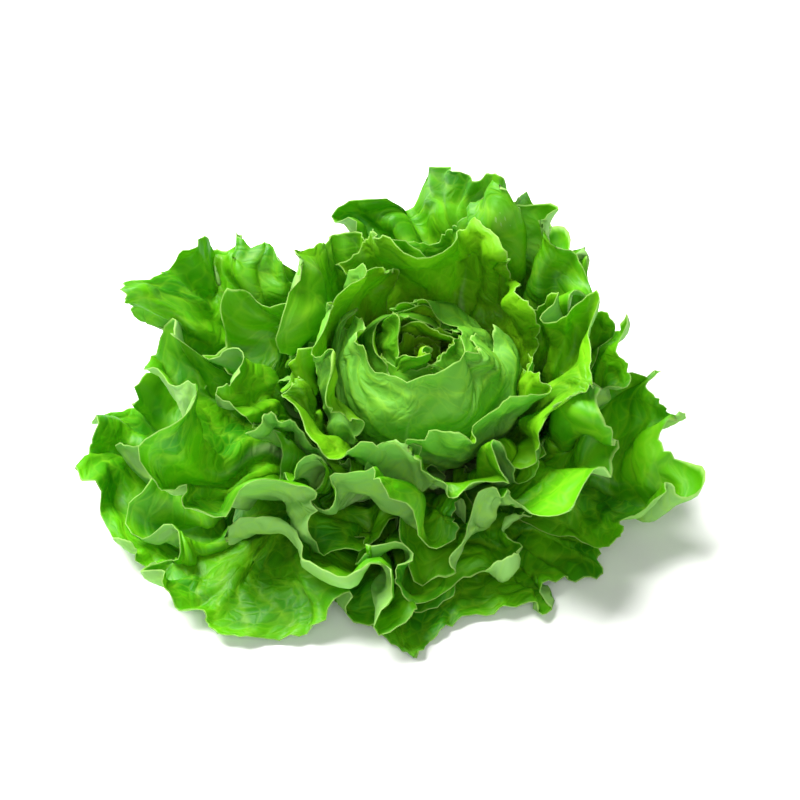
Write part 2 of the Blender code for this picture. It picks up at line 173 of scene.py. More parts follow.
def bowl(number, samples=160):
    """Sums up short steps along the leaf, each at the slope that it has there."""
    _, direction, length, _ = LEAVES[number]
    rank = rank_of(number)
    t = np.linspace(0, 1, samples)
    first, middle, last = (math.radians(np.interp(rank, RANK, column))
                           for column in (STALK_SLOPE, MIDDLE_SLOPE, TIP_SLOPE))
    stand_up = math.radians(np.interp(rank, RANK, BACK_STANDS_UP))
    stand_up = stand_up * math.sin(math.radians(direction))
    middle, last = middle + stand_up, last + stand_up
    slope = first * (1 - t) ** 2 + 2 * middle * t * (1 - t) + last * t ** 2
    slope = slope - math.radians(np.interp(rank, RANK, LIP_TURNS_OUT)) * smooth((t - 0.8) / 0.2)
    step = length * MM / (samples - 1)
    half_way = (slope[1:] + slope[:-1]) / 2
    radius = np.concatenate([[0], np.cumsum(np.cos(half_way) * step)])
    height = np.concatenate([[0], np.cumsum(np.sin(half_way) * step)])
    start_radius = (9 + 6 * rank) * MM
    start_height = np.interp(rank, RANK, STALK_HEIGHT) * MM
    return t * length * MM, start_radius + radius, start_height + height


def lay_in_bowl(number, across, along):
    """Along the leaf a point follows the bowl, and across it goes round the head's axis."""
    _, direction, _, _ = LEAVES[number]
    distance, radii, heights = bowl(number)
    radius = np.interp(along, distance, radii)
    height = np.interp(along, distance, heights) + np.maximum(along - distance[-1], 0)
    wrap = np.interp(rank_of(number), [0.26, 0.28], [1.0, 1.08]) * np.maximum(radius, 10 * MM)
    angle = across / wrap
    outward = radius - wrap * (1 - np.cos(angle))
    sideways = wrap * np.sin(angle)
    c, s = math.cos(math.radians(direction)), math.sin(math.radians(direction))
    return np.stack([outward * c - sideways * s, outward * s + sideways * c, height], axis=-1)


print("bowl of the oldest leaf ends at radius", round(bowl(0)[1][-1] / MM, 1), "mm")

# %% [markdown]
# Folding the head as one
#
# Leaf margins grow faster than the middles, so they have to fold, and leaves that lie on each other
# fold together. The folds are therefore made in space and not leaf by leaf. Each kind of wave gives
# every point a speed, and the points drift with it for one unit of time. A drift like this never
# makes two leaves change places. The ruffles run round the head and swing the margins up, down and
# sideways, and the swirls carry whole groups of margins off in curls.

# %% Waves that fold the head
def polar(points):
    """Distance from the head's centre, elevation and direction, and the unit vectors of both."""
    d = points - HEAD_CENTRE
    flat = np.hypot(d[:, 0], d[:, 1]) + 1e-9
    distance = np.hypot(flat, d[:, 2])
    elevation = np.arctan2(d[:, 2], flat)
    direction = np.arctan2(d[:, 1], d[:, 0])
    up = np.stack([-np.sin(elevation) * np.cos(direction),
                   -np.sin(elevation) * np.sin(direction), np.cos(elevation)], axis=1)
    round_about = np.stack([-np.sin(direction), np.cos(direction), 0 * direction], axis=1)
    return distance, flat, elevation, direction, up, round_about


class Ruffles:
    """Sines of the direction, elevation and distance that grow towards the leaves' margins."""

    def __init__(self, seed, count, turns, climb, spread, start, rise, swing):
        random = np.random.default_rng(seed)
        self.turns = random.integers(turns[0], turns[1] + 1, count)
        self.climb = random.uniform(*climb, count) * random.choice([-1, 1], count)
        self.spread = random.uniform(*spread, count) * random.choice([-1, 1], count)
        self.phase = random.uniform(0, 2 * np.pi, count)
        self.late = random.uniform(0, 2 * np.pi, count)
        self.start, self.rise, self.swing = start, rise, swing
        self.share = 1 / math.sqrt(count / 2)

    def speed(self, points):
        distance, flat, elevation, direction, up, round_about = polar(points)
        margin = (65 + 72 * np.cos(elevation)) * MM
        grow = smooth((distance / margin - self.start) / (1 - self.start)) ** 1.5
        grow = grow * smooth(flat / (70 * MM)) * self.share
        wave = direction[:, None] * self.turns + elevation[:, None] * self.climb
        wave = wave + distance[:, None] * self.spread + self.phase
        rise = self.rise * grow * np.sin(wave).sum(axis=1)
        swing = self.swing * grow * np.sin(wave + self.late).sum(axis=1)
        return rise[:, None] * up + swing[:, None] * round_about


class Swirls:
    """Plane waves from every side, each pushing at a right angle to the way that it travels."""

    def __init__(self, seed, count, wavelength, start, end, amount):
        random = np.random.default_rng(seed)
        heading = unit(random.normal(size=(count, 3)))
        wavelengths = random.uniform(*wavelength, count)
        self.wave = heading * (2 * np.pi / wavelengths)[:, None]
        self.push = unit(np.cross(heading, random.normal(size=(count, 3))))
        self.phase = random.uniform(0, 2 * np.pi, count)
        self.start, self.end = start, end
        self.amount = amount / math.sqrt(count / 2)

    def speed(self, points):
        distance = np.linalg.norm(points - HEAD_CENTRE, axis=1)
        grow = smooth((distance - self.start) / (self.end - self.start))
        return self.amount * grow[:, None] * (np.sin(points @ self.wave.T + self.phase) @ self.push)


FOLDS = [
    Ruffles(seed=5, count=16, turns=(6, 12), climb=(2, 6), spread=(15, 40), start=0.40,
            rise=9 * MM, swing=6 * MM),
    Swirls(seed=3, count=22, wavelength=(55 * MM, 95 * MM), start=55 * MM, end=125 * MM,
           amount=11 * MM),
]


def fold(points, steps=10):
    """Carries points along the waves' speeds for one unit of time, in short mid-point steps."""
    h = 1 / steps
    for _ in range(steps):
        half_way = points + 0.5 * h * sum(waves.speed(points) for waves in FOLDS)
        points = points + h * sum(waves.speed(half_way) for waves in FOLDS)
    return points


# %% [markdown]
# Rolled margins, the lean and the table
#
# Some margins roll right over, as the tall leaf at the back and the long lip at the front do. A roll
# is a turn about a short axis that fades with the distance from it. Then the outer leaves lean
# towards the front, and what would sink through the table spreads out on it.

# %% Rolled margins
# Direction and elevation in degrees, distance from the head's centre in mm, tilt of the axis, radius
# in mm, and angle in degrees, which is negative where a margin rolls in
PLACED_CURLS = [
    (64, 58, 88, 0.0, 19, -105),
    (114, 44, 122, 0.4, 20, -100),
    (-22, 30, 104, 0.2, 20, 95),
    (172, 42, 90, -0.2, 20, 85),
    (-96, 24, 92, 0.3, 17, -95),
    (-128, 22, 104, -0.3, 18, -95),
    (-62, 20, 96, -0.2, 18, -90),
]


def curl(direction, elevation, distance, tilt, radius, angle):
    """One roll: its centre lies that way from the head's centre, its axis is level but for a tilt."""
    outward = np.array([math.cos(elevation) * math.cos(direction),
                        math.cos(elevation) * math.sin(direction), math.sin(elevation)])
    tangent = np.array([-math.sin(direction), math.cos(direction), 0])
    return HEAD_CENTRE + distance * outward, unit(tangent + tilt * outward), radius, angle


def curls(seed=11, count=12):
    """The centre, axis, radius and angle of each roll: first the placed ones, then some others."""
    for direction, elevation, distance, tilt, radius, angle in PLACED_CURLS:
        yield curl(math.radians(direction), math.radians(elevation), distance * MM, tilt,
                   radius * MM, math.radians(angle))
    random = np.random.default_rng(seed)
    for _ in range(count):
        direction = random.uniform(0, 2 * np.pi)
        elevation = math.radians(random.uniform(0, 68))
        distance = (65 + 72 * math.cos(elevation)) * MM * random.uniform(0.86, 1.02)
        angle = math.radians(random.uniform(50, 105)) * random.choice([-1, 1], p=[0.35, 0.65])
        yield curl(direction, elevation, distance, random.uniform(-0.7, 0.7),
                   random.uniform(13, 22) * MM, angle)


def turn(points, centre, axis, angle):
    """Turns each point by its own angle about an axis through the centre."""
    d = points - centre
    c, s = np.cos(angle)[:, None], np.sin(angle)[:, None]
    return centre + d * c + np.cross(axis, d) * s + axis * (d @ axis)[:, None] * (1 - c)


def roll_margins(points):
    """The angle of each roll falls off with the distance from its centre, as a bell curve."""
    for centre, axis, radius, angle in curls():
        distance = np.linalg.norm(points - centre, axis=1)
        points = turn(points, centre, axis, angle * np.exp(-(distance / radius) ** 2))
    return points


def lean(points):
    """Turns the outer leaves forward, and leaves the stem and heart nearly upright."""
    distance = np.linalg.norm(points - HEAD_CENTRE, axis=1)
    angle = HEAD_LEAN * smooth((distance - 20 * MM) / (90 * MM))
    return turn(points, HEAD_CENTRE, np.array([1.0, 0, 0]), angle)


def lay_on_table(points, soft=15 * MM):
    """Squeezes heights below the soft limit into the room above the table, in their order."""
    room = soft - LOWEST_LEAF
    z = points[:, 2]
    flattened = LOWEST_LEAF + room * np.exp(np.minimum((z - soft) / room, 0))
    return np.column_stack([points[:, :2], np.where(z < soft, flattened, z)])


print("rolled margins:", len(list(curls())))

# %% [markdown]
# The frills of each leaf
#
# On top of the folds that leaves share, every margin has frills of its own: waves along the normal
# that grow with the distance from the stalk, and that lean over sideways where they are steep. The
# lean is what makes them look like cloth and not like a corrugated sheet.

# %% Frills and a whole leaf
def normals(sheet):
    """The cross product of the directions along and across the leaf, which points into the bowl."""
    return unit(np.cross(np.gradient(sheet, axis=1), np.gradient(sheet, axis=0)))


def frill(number, sheet, p, q):
    """Adds a large wave and a finer one along the normal, and a sideways wave of half the length."""
    rank = rank_of(number)
    random = np.random.default_rng(1100 + number)
    offsets = random.uniform(0, 6, 5)
    across = unit(np.gradient(sheet, axis=0))
    depth = np.interp(rank, [0.0, 0.27, 0.34, 0.6, 1.0], [3.0, 4.5, 8.5, 13.0, 12.0]) * MM
    width = np.clip(LEAVES[number][3] / 60, 0.3, 1.2)
    count = np.interp(rank, [0.27, 0.5], [4.2, 6.2]) * width
    wave = count * np.pi * (p + 0.10 * np.sin(2.3 * np.pi * p + offsets[0])) + offsets[1]
    large = depth * (0.80 + 0.40 * np.sin(1.7 * np.pi * p + offsets[2])) * q ** 2.6
    small = 0.30 * depth * (0.8 + 0.4 * np.sin(2.9 * np.pi * p + offsets[3])) * q ** 5
    rise = large * np.sin(wave) + small * np.sin(2.3 * wave + offsets[4])
    sideways = -0.50 * large * np.sin(2 * wave)
    return sheet + normals(sheet) * rise[..., None] + across * sideways[..., None]


def leaf_sheet(number, p, q, across, along):
    """The middle surface of a leaf: bowl, shared folds, rolls, lean, own frills and the table."""
    sheet = lay_in_bowl(number, across, along)
    points = lean(roll_margins(fold(sheet.reshape(-1, 3)))).reshape(sheet.shape)
    points = frill(number, points, p, q)
    return lay_on_table(points.reshape(-1, 3)).reshape(sheet.shape)


# %% [markdown]
# Bending the leaves clear of each other
#
# Own frills can make two leaves cross. The plain blades were bent clear of each other with few
# points each, and the same is done here, so that the fine leaves lie where the plain ones do. Each
# round looks for places where two leaves come closer than a gap, and moves them apart by a quarter
# of a millimetre. The fine leaves then take over what the few points moved.

# %% Coarse sheets
LENGTH_OF_SHEETS = 61
ROWS_OF_SHEETS = 25
TRIANGLES_OF_SMALLEST_LEAF = 70
TRIANGLES_OF_LARGEST_LEAF = 210
LARGE_LEAF = 8000


def sheet_mesh(name, sheet):
    """A grid of points as a mesh, with its faces towards the heart."""
    rows, columns = sheet.shape[:2]
    index = np.arange(rows * columns).reshape(rows, columns)
    faces = np.stack([index[:-1, :-1], index[:-1, 1:], index[1:, 1:], index[1:, :-1]], axis=-1)
    mesh = bpy.data.meshes.new(name)
    mesh.from_pydata(sheet.reshape(-1, 3).tolist(), [], faces.reshape(-1, 4).tolist())
    mesh.update()
    return mesh


def thin_out(mesh, triangles):
    """The same sheet in about so many triangles, with most of them where it bends."""
    helper = bpy.data.objects.new(mesh.name, mesh)
    bpy.context.scene.collection.objects.link(helper)
    triangulate = helper.modifiers.new("triangles", "TRIANGULATE")
    triangulate.quad_method = "BEAUTY"
    decimate = helper.modifiers.new("fewer", "DECIMATE")
    decimate.ratio = triangles / (2 * (LENGTH_OF_SHEETS - 1) * (ROWS_OF_SHEETS - 1))
    decimate.use_collapse_triangulate = True
    thinned = bpy.data.meshes.new_from_object(helper.evaluated_get(
        bpy.context.evaluated_depsgraph_get()))
    bpy.data.objects.remove(helper)
    return thinned


def corners(mesh):
    """A mesh as arrays: its points, and the three point numbers of each triangle."""
    points = np.empty(3 * len(mesh.vertices))
    mesh.vertices.foreach_get("co", points)
    triangles = np.array([face.vertices[:] for face in mesh.polygons])
    return points.reshape(-1, 3), triangles


coarse_p, coarse_q = np.meshgrid(np.linspace(-1, 1, LENGTH_OF_SHEETS),
                                 np.linspace(0, 1, ROWS_OF_SHEETS) ** 0.8, indexing="ij")
coarse_grids, thinned = [], []
for number, (name, _, length, half_width) in enumerate(LEAVES):
    across, along = flat_pattern(number, coarse_p, coarse_q)
    sheet = leaf_sheet(number, coarse_p, coarse_q, across, along)
    share = min(1, length * half_width / LARGE_LEAF)
    triangles = TRIANGLES_OF_SMALLEST_LEAF
    triangles += int(share * (TRIANGLES_OF_LARGEST_LEAF - TRIANGLES_OF_SMALLEST_LEAF))
    coarse_grids.append((sheet.reshape(-1, 3), np.column_stack([across.ravel(), along.ravel()])))
    thinned.append(corners(thin_out(sheet_mesh("coarse_" + name, sheet), triangles)))
print("triangles in the coarse sheets:", sum(len(triangles) for _, triangles in thinned))


# %% Finding what touches
def stem_radius(height):
    """The stem's radius at a height, from its wide foot to its narrow top."""
    return np.interp(height, [0, STEM_HEIGHT], [STEM_FOOT_RADIUS, STEM_TOP_RADIUS])


def keep_off_stem_and_table(points):
    """Moves points out of the stem, sideways, and up to the height of the lowest leaf."""
    radius = np.hypot(points[:, 0], points[:, 1])
    beside_stem = points[:, 2] < STEM_HEIGHT + 2 * MM
    least = np.where(beside_stem, stem_radius(points[:, 2]) + LOWEST_LEAF, 0)
    grow = np.maximum(least / np.maximum(radius, 1e-9), 1)
    return np.column_stack([points[:, :2] * grow[:, None], np.maximum(points[:, 2], LOWEST_LEAF)])


def rim_edges(triangles):
    """The edges that only one triangle has, each with the number of that triangle."""
    edges = np.concatenate([triangles[:, [0, 1]], triangles[:, [1, 2]], triangles[:, [2, 0]]])
    owner = np.tile(np.arange(len(triangles)), 3)
    _, first, count = np.unique(np.sort(edges, axis=1), axis=0, return_index=True,
                                return_counts=True)
    single = first[count == 1]
    return edges[single], owner[single]


class Sides:
    """The two sides of a sheet, each half the gap away from it, ready to be tested for crossings."""

    def __init__(self, points, triangles, gap):
        a, b, c = (points[triangles[:, k]] for k in range(3))
        facing = np.cross(b - a, c - a)
        corner_facing = np.zeros_like(points)
        for k in range(3):
            np.add.at(corner_facing, triangles[:, k], facing)
        self.corner_facing = unit(corner_facing)
        self.facing = unit(facing)
        self.triangles = triangles
        self.push = np.zeros_like(points)
        inner = points + self.corner_facing * gap / 2
        outer = points - self.corner_facing * gap / 2
        polygons = triangles.tolist()
        self.inner = BVHTree.FromPolygons(inner.tolist(), polygons)
        self.outer = BVHTree.FromPolygons(outer.tolist(), polygons)
        edges, owner = rim_edges(triangles)
        rim = np.column_stack([edges, edges[:, ::-1] + len(points)])
        closed = polygons + (triangles + len(points)).tolist() + rim.tolist()
        self.whole = BVHTree.FromPolygons(np.concatenate([inner, outer]).tolist(), closed)
        half = self.corner_facing * SAFE_THICKNESS / 2
        real = np.concatenate([points + half, points - half])
        self.solid = BVHTree.FromPolygons(real.tolist(), closed)
        self.owner = np.concatenate([np.tile(np.arange(len(triangles)), 2), owner])
        self.low = points.min(axis=0) - gap
        self.high = points.max(axis=0) + gap

    def far_from(self, other):
        return (self.low > other.high).any() or (other.low > self.high).any()

    def add_push(self, faces, vectors):
        for k in range(3):
            np.add.at(self.push, self.triangles[faces, k], vectors)


# %% Pushing apart and flattening creases
def push_two_apart(inside, outside):
    """The leaf nearer the heart goes inwards, unless it only touches the other one from below."""
    pairs = inside.whole.overlap(outside.whole)
    if not pairs:
        return 0
    first, second = np.array(pairs).T
    first, second = inside.owner[first], outside.owner[second]
    from_below = inside.inner.overlap(outside.outer) and not inside.outer.overlap(outside.inner)
    sense = -1 if from_below else 1
    apart = sense * unit(inside.facing[first] + outside.facing[second])
    inside.add_push(first, apart)
    outside.add_push(second, -apart)
    return len(pairs)


def open_own_folds(leaf):
    """Where one side of a leaf meets itself in a fold, both walls of the fold go back."""
    meetings = 0
    for side, sense in ((leaf.inner, -1), (leaf.outer, 1)):
        first, second = np.array(side.overlap(side), int).reshape(-1, 2).T
        corners_first, corners_second = leaf.triangles[first], leaf.triangles[second]
        joined = (corners_first[:, :, None] == corners_second[:, None, :]).any(axis=(1, 2))
        faces = first[~joined]
        leaf.add_push(faces, sense * leaf.facing[faces])
        meetings += len(faces)
    return meetings


def sharp_corners(leaf, least=0.35):
    """Corners of triangles that face away from their neighbours, or whose thickness crosses."""
    worst = np.ones(len(leaf.corner_facing))
    for k in range(3):
        corner = leaf.triangles[:, k]
        np.minimum.at(worst, corner, (leaf.corner_facing[corner] * leaf.facing).sum(axis=1))
    crossed = leaf.owner[np.array(leaf.solid.overlap(leaf.solid), int).reshape(-1)]
    worst[leaf.triangles[crossed]] = -1
    return worst < least


def neighbour_mean(values, triangles):
    """For each corner, the mean of the values at the corners that it shares triangles with."""
    total, weight = np.zeros_like(values), np.zeros(len(values))
    for k in range(3):
        for other in (1, 2):
            np.add.at(total, triangles[:, k], values[triangles[:, (k + other) % 3]])
            np.add.at(weight, triangles[:, k], 1)
    return total / np.maximum(weight, 1)[:, None]


def move_corners(points, leaf, step):
    """Moves pushed corners by one step and their neighbours with them, and flattens creases."""
    push = unit(leaf.push)
    met = np.linalg.norm(push, axis=1) > 0.5
    push[~met] = 0
    moved = points + step * np.where(met[:, None], push, neighbour_mean(push, leaf.triangles))
    sharp = sharp_corners(leaf).astype(float)[:, None]
    share = 0.3 * np.minimum(sharp + neighbour_mean(sharp, leaf.triangles), 1)
    flatter = moved + share * (neighbour_mean(moved, leaf.triangles) - moved)
    return keep_off_stem_and_table(flatter)


def bend_clear(sheets, gap=LEAF_GAP, step=0.25 * MM, rounds=160):
    """Bends the leaves, a little each round, until they are a gap away from each other."""
    for count in range(rounds):
        leaves = [Sides(points, triangles, gap) for points, triangles in sheets]
        meetings = sum(open_own_folds(leaf) + sharp_corners(leaf).sum() for leaf in leaves)
        for number, inside in enumerate(leaves):
            for outside in leaves[:number]:
                if not inside.far_from(outside):
                    meetings += push_two_apart(inside, outside)
        if meetings == 0:
            break
        sheets = [(move_corners(points, leaf, step), triangles)
                  for (points, triangles), leaf in zip(sheets, leaves)]
    print("meetings left after bending:", meetings)
    return sheets


bent = bend_clear([(keep_off_stem_and_table(points), faces) for points, faces in thinned])


# %% [markdown]
# What a close look adds
#
# The midrib is broad and pale at the stalk and fades towards the tip. Side veins leave it slanting
# outwards and curve up. Both stand out on the underside and are grooves above. The blade has grown
# more than its veins, so it bulges up between them in blisters, and small puckers run over both.
# All of this is worked out in the flat pattern, from the distances across and along the leaf.

# %% Ribs, blisters and puckers as functions of the flat pattern
VEIN_SPACING = 13 * MM
VEIN_SLANT = 0.60
VEIN_CURVE = 0.003 / MM
VEIN_WANDER = 1.6 * MM
WANDER_LENGTH = 8 * MM
BLISTER_LENGTH = 13 * MM


def vein_phase(across, along):
    """Counts side veins: the distance along, less the slant and curve across, over the spacing."""
    outward = np.abs(across)
    wander = VEIN_WANDER * np.sin(outward / WANDER_LENGTH + (across > 0))
    start = along - VEIN_SLANT * outward - VEIN_CURVE * across ** 2 + wander
    return start / VEIN_SPACING + 0.5 * (across > 0)


def side_veins(across, along, width=1.3 * MM):
    """A bell curve of the distance to the nearest side vein."""
    phase = vein_phase(across, along)
    distance = np.abs(phase - np.round(phase)) * VEIN_SPACING
    return np.exp(-(distance / width) ** 2)


def midrib(across, along, length):
    """A bell curve across the leaf, whose width and height fade from the stalk to the tip."""
    fade = np.clip(1 - along / (0.85 * length), 0, 1)
    width = (0.8 + 3.0 * fade) * MM * length / (120 * MM)
    return fade * np.exp(-(across / width) ** 2)


def blisters(across, along):
    """Domes between neighbouring veins, broken up by a wave along the veins."""
    phase = vein_phase(across, along)
    along_vein = 2 * np.pi * np.abs(across) / BLISTER_LENGTH
    cut = np.sin(along_vein + 2.4 * np.floor(phase) + along / (30 * MM))
    return np.sin(np.pi * phase) ** 2 * (0.55 + 0.45 * cut)


def puckers(number, across, along, count=14):
    """Plane waves of 7 to 15 mm from all sides, summed into small dents with no order."""
    random = np.random.default_rng(4100 + number)
    heading = random.uniform(0, 2 * np.pi, count)
    wavelength = random.uniform(7 * MM, 15 * MM, count)
    phase = random.uniform(0, 2 * np.pi, count)
    travel = across[..., None] * np.cos(heading) + along[..., None] * np.sin(heading)
    return np.sin(2 * np.pi * travel / wavelength + phase).sum(axis=-1) / math.sqrt(count / 2)


# %% The fine grid
COLUMNS = 151
RINGS = 45

# One more row lies just inside each margin, so that the rim stays sharp
spread = np.linspace(-1, 1, COLUMNS)
spread = np.sort(np.append(spread * (0.8 + 0.2 * spread ** 2), [-0.995, 0.995]))
rings = np.sort(np.append(np.linspace(0, 1, RINGS) ** 0.8, 0.994))
fine_p, fine_q = np.meshgrid(spread, rings, indexing="ij")
print("points on one side of a fine leaf:", fine_p.size)


def carry_bend(number, sheet, across, along, reach=7 * MM):
    """Each point moves by the mean of what the coarse points near it in the flat pattern moved."""
    grid, flat = coarse_grids[number]
    before, after = thinned[number][0], bent[number][0]
    nearest = np.argmin(((before[:, None] - grid[None]) ** 2).sum(axis=-1), axis=1)
    at = flat[nearest]
    fine = np.column_stack([across.ravel(), along.ravel()])
    squared = ((fine[:, None] - at[None]) ** 2).sum(axis=-1) / reach ** 2
    weight = np.exp(-squared) + 1e-4 / (1 + squared) ** 2
    move = (weight @ (after - before)) / weight.sum(axis=1)[:, None]
    return sheet + move.reshape(sheet.shape)


def to_margin(across, along):
    """The distance from each point of the flat pattern to the nearest point of its outline."""
    outline = np.concatenate([np.column_stack([across[:, -1], along[:, -1]]),
                              np.column_stack([across[0], along[0]]),
                              np.column_stack([across[-1], along[-1]])])
    points = np.column_stack([across.ravel(), along.ravel()])
    squared = ((points[:, None] - outline[None]) ** 2).sum(axis=-1)
    return np.sqrt(squared.min(axis=1)).reshape(across.shape)


# %% [markdown]
# Crumples and fine folds
#
# Between the large folds and the blisters a fresh leaf is crumpled in soft dents a few centimetres
# long, and leaves that press on each other share them. So the dents are one more field of waves in
# space. Only the outermost strip of the margin has finer folds of its own.

# %% Crumples and fine folds
FINE_FRILL = 1.6 * MM
TOOTH_LENGTH = 1.6 * MM
CRUMPLES = Swirls(seed=23, count=30, wavelength=(17 * MM, 38 * MM), start=22 * MM, end=72 * MM,
                  amount=2.0 * MM)


def crumple(sheet):
    """Carries every point along the short waves by a mid-point step, less and less near the table."""
    points = sheet.reshape(-1, 3)
    half_way = points + 0.5 * CRUMPLES.speed(points)
    move = CRUMPLES.speed(half_way) * smooth(points[:, 2:] / (14 * MM))
    return (points + move).reshape(sheet.shape)


def soften_margin(sheet, q, passes=4):
    """Averages each point with its neighbours round the fan, most of all at the margin."""
    share = (q ** 4)[1:-1, :, None]
    for _ in range(passes):
        mean = (sheet[:-2] + 2 * sheet[1:-1] + sheet[2:]) / 4
        sheet = np.concatenate([sheet[:1], sheet[1:-1] + share * (mean - sheet[1:-1]), sheet[-1:]])
    return sheet


def fine_frill(number, sheet, p, q):
    """Two short waves along the normal that live only in the outermost part of the blade."""
    random = np.random.default_rng(2100 + number)
    width = np.clip(LEAVES[number][3] / 60, 0.3, 1.2)
    depth = FINE_FRILL * np.interp(rank_of(number), [0.0, 0.3, 0.5], [0.4, 0.6, 1.0])
    wave = 17 * width * np.pi * (p + 0.05 * np.sin(5 * np.pi * p + random.uniform(0, 6)))
    rise = np.sin(wave + random.uniform(0, 6)) + 0.5 * np.sin(1.7 * wave + random.uniform(0, 6))
    return sheet + normals(sheet) * (depth * rise * q ** 7)[..., None]


def tooth_length(number, p, q):
    """How far the margin stands out: four short waves round the fan, in the last strip only."""
    random = np.random.default_rng(3100 + number)
    waves = [81, 117, 156, 213]
    length = sum(np.sin(count * p + random.uniform(0, 6)) for count in waves) / len(waves)
    return (TOOTH_LENGTH * length * q ** 12)[..., None]


# %% [markdown]
# The leaf as a closed blade
#
# A leaf has two sides and a rim. The upper side is the middle surface moved up by half the
# thickness and by the blisters, the underside is moved down by the same and by the ribs, and a strip
# of faces closes the rim. Each corner also keeps what the material will ask for: the side that it
# is on, its distance from the margin, the strength of the midrib and veins and the age of the leaf.

# %% Closing and marking a blade
SHEET_WIDTH = 300 * MM
SHEET_LENGTH = 160 * MM


def closed_blade(name, upper, under):
    """Both grids with their faces outwards, joined by a strip of faces round the rim."""
    columns, rows = upper.shape[:2]
    index = np.arange(columns * rows).reshape(columns, rows)
    quads = np.stack([index[:-1, :-1], index[:-1, 1:], index[1:, 1:], index[1:, :-1]], axis=-1)
    quads = quads.reshape(-1, 4)
    ring = np.concatenate([index[:, 0], index[-1, 1:], index[-2::-1, -1], index[0, -2:0:-1]])
    following = np.roll(ring, -1)
    strip = np.column_stack([ring, following, following + index.size, ring + index.size])
    faces = np.concatenate([quads, quads[:, ::-1] + index.size, strip])
    mesh = bpy.data.meshes.new(name)
    points = np.concatenate([upper.reshape(-1, 3), under.reshape(-1, 3)])
    mesh.from_pydata(points.tolist(), [], faces.tolist())
    mesh.update()
    mesh.shade_smooth()
    return mesh


def keep_on_corners(mesh, name, upper, under):
    """Stores one number for each corner, first of the upper side and then of the underside."""
    attribute = mesh.attributes.new(name, "FLOAT", "POINT")
    values = np.concatenate([np.ravel(upper), np.ravel(under)])
    attribute.data.foreach_set("value", values.astype(np.float32))


def lay_out_flat(mesh, across, along):
    """The UV map: the upper side's flat pattern on the left, and the underside's on the right."""
    u = across.ravel() / SHEET_WIDTH
    v = along.ravel() / SHEET_LENGTH
    places = np.concatenate([np.column_stack([0.25 + u, v]), np.column_stack([0.75 + u, v])])
    layer = mesh.uv_layers.new(name="OFBake")
    loops = np.empty(len(mesh.loops), int)
    mesh.loops.foreach_get("vertex_index", loops)
    layer.uv.foreach_set("vector", places[loops].astype(np.float32).ravel())


# %% Building the leaves
MIDRIB_HEIGHT = 1.8 * MM
VEIN_HEIGHT = 0.35 * MM
BLISTER_HEIGHT = 0.7 * MM
PUCKER_HEIGHT = 0.32 * MM
LOWEST_POINT = 0.2 * MM
USUAL_LENGTH = 120


def make_leaf(number):
    """The sheet of the plain blade, crumpled and frilled, with its two sides raised off it."""
    name, _, length, _ = LEAVES[number]
    across, along = flat_pattern(number, fine_p, fine_q)
    sheet = leaf_sheet(number, fine_p, fine_q, across, along)
    sheet = soften_margin(crumple(carry_bend(number, sheet, across, along)), fine_q)
    sheet = fine_frill(number, sheet, fine_p, fine_q)
    sheet = sheet + unit(np.gradient(sheet, axis=1)) * tooth_length(number, fine_p, fine_q)

    margin = to_margin(across, along)
    calm = smooth(margin / (6 * MM)) * smooth(along / (30 * MM))
    rib = midrib(across, along, length * MM)
    veins = side_veins(across, along) * (1 - rib) * calm
    bulge = BLISTER_HEIGHT * blisters(across, along) + PUCKER_HEIGHT * puckers(number, across, along)
    relief = bulge * calm * (1 - rib) - VEIN_HEIGHT * veins
    half = LEAF_THICKNESS / 2 * np.interp(margin, [0, 2 * MM], [0.45, 1.0])
    normal = normals(sheet)
    upper = sheet + normal * (half + relief)[..., None]
    rib_height = MIDRIB_HEIGHT * length / USUAL_LENGTH * rib
    under = sheet - normal * (half - relief + rib_height)[..., None]
    for side in (upper, under):
        side[..., 2] = np.maximum(side[..., 2], LOWEST_POINT)

    mesh = closed_blade(name + "_leaf", upper, under)
    lay_out_flat(mesh, across, along)
    keep_on_corners(mesh, "upper_side", np.ones(across.size), np.zeros(across.size))
    keep_on_corners(mesh, "from_margin", margin / MM, margin / MM)
    keep_on_corners(mesh, "midrib", rib, rib)
    keep_on_corners(mesh, "vein", veins, veins)
    age = np.full(across.size, rank_of(number))
    keep_on_corners(mesh, "age", age, age)
    leaf = bpy.data.objects.new(name + "_leaf", mesh)
    bpy.context.scene.collection.objects.link(leaf)
    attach(leaf, "root")
    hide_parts(name)
    return leaf


leaves = [make_leaf(number) for number in range(len(LEAVES))]
faces_of_one = len(leaves[0].data.polygons)
print("leaves:", len(leaves), "four-sided faces:", faces_of_one * len(leaves))

# %% [markdown]
# The stem
#
# The stem is cut flat just below the lowest leaves. It is a cone with a rounded top, slightly fluted
# where the leaf stalks ran down it, and its cut end is a plain flat disc.

# %% The stem as a turned surface
FLUTE_DEPTH = 0.35 * MM


